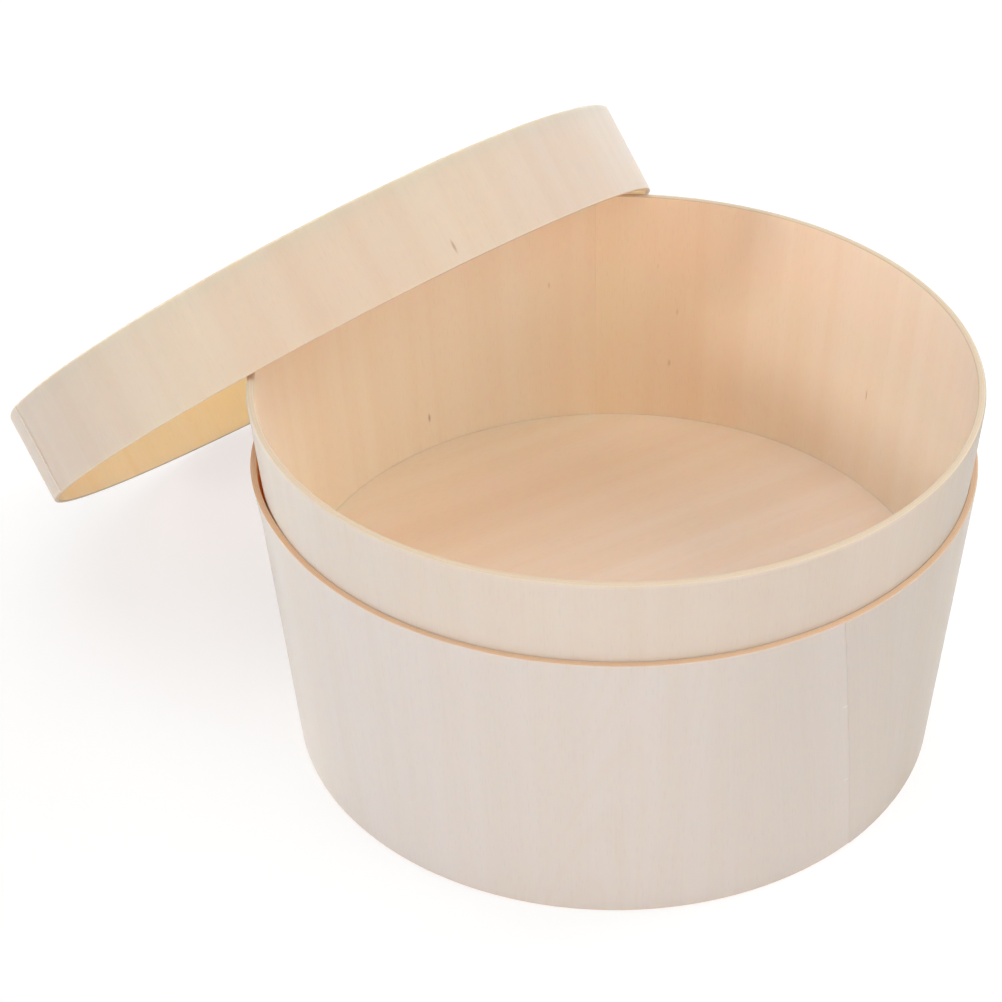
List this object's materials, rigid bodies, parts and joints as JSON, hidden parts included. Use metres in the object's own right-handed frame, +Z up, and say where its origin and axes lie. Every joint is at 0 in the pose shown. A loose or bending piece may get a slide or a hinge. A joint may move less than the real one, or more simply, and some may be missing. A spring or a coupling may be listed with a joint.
{
  "type": "round wooden cake box",
  "caption": "Round bent-veneer cake box with leaning walls, a raised floor, a collar above its shoulder and a lift-off lid that stands beside it, leaning on the rim.",
  "frame": {"origin": "middle of the tub's foot at table level, on the tub's axis", "axes": "+Z up along the tub's axis; +X to the right and -Y towards the viewer of the picture; the lid leans on the rim on the side of -X and +Y"},
  "size_m": [0.2833, 0.2857, 0.1598],
  "materials": {
    "veneer_outer": "bare pale veneer, sanded, faint upright grain",
    "veneer_collar": "bare pale veneer, sanded, warm on the inside",
    "floor_board": "bare pale board, sanded",
    "veneer_foot": "bare pale veneer",
    "veneer_lid": "bare pale veneer, sanded, faint upright grain",
    "lid_board": "bare pale board, sanded"
  },
  "bodies": {
    "tub": {"outer_band": "veneer_outer", "collar": "veneer_collar", "floor_disc": "floor_board", "foot_hoop": "veneer_foot"},
    "lid": {"lid_band": "veneer_lid", "lid_disc": "lid_board"}
  },
  "joints": [
    {"name": "lid_lift", "type": "slide", "parent": "tub", "child": "lid", "axis": [0, 0, 1], "range_m": [0, 0.13]}
  ]
}
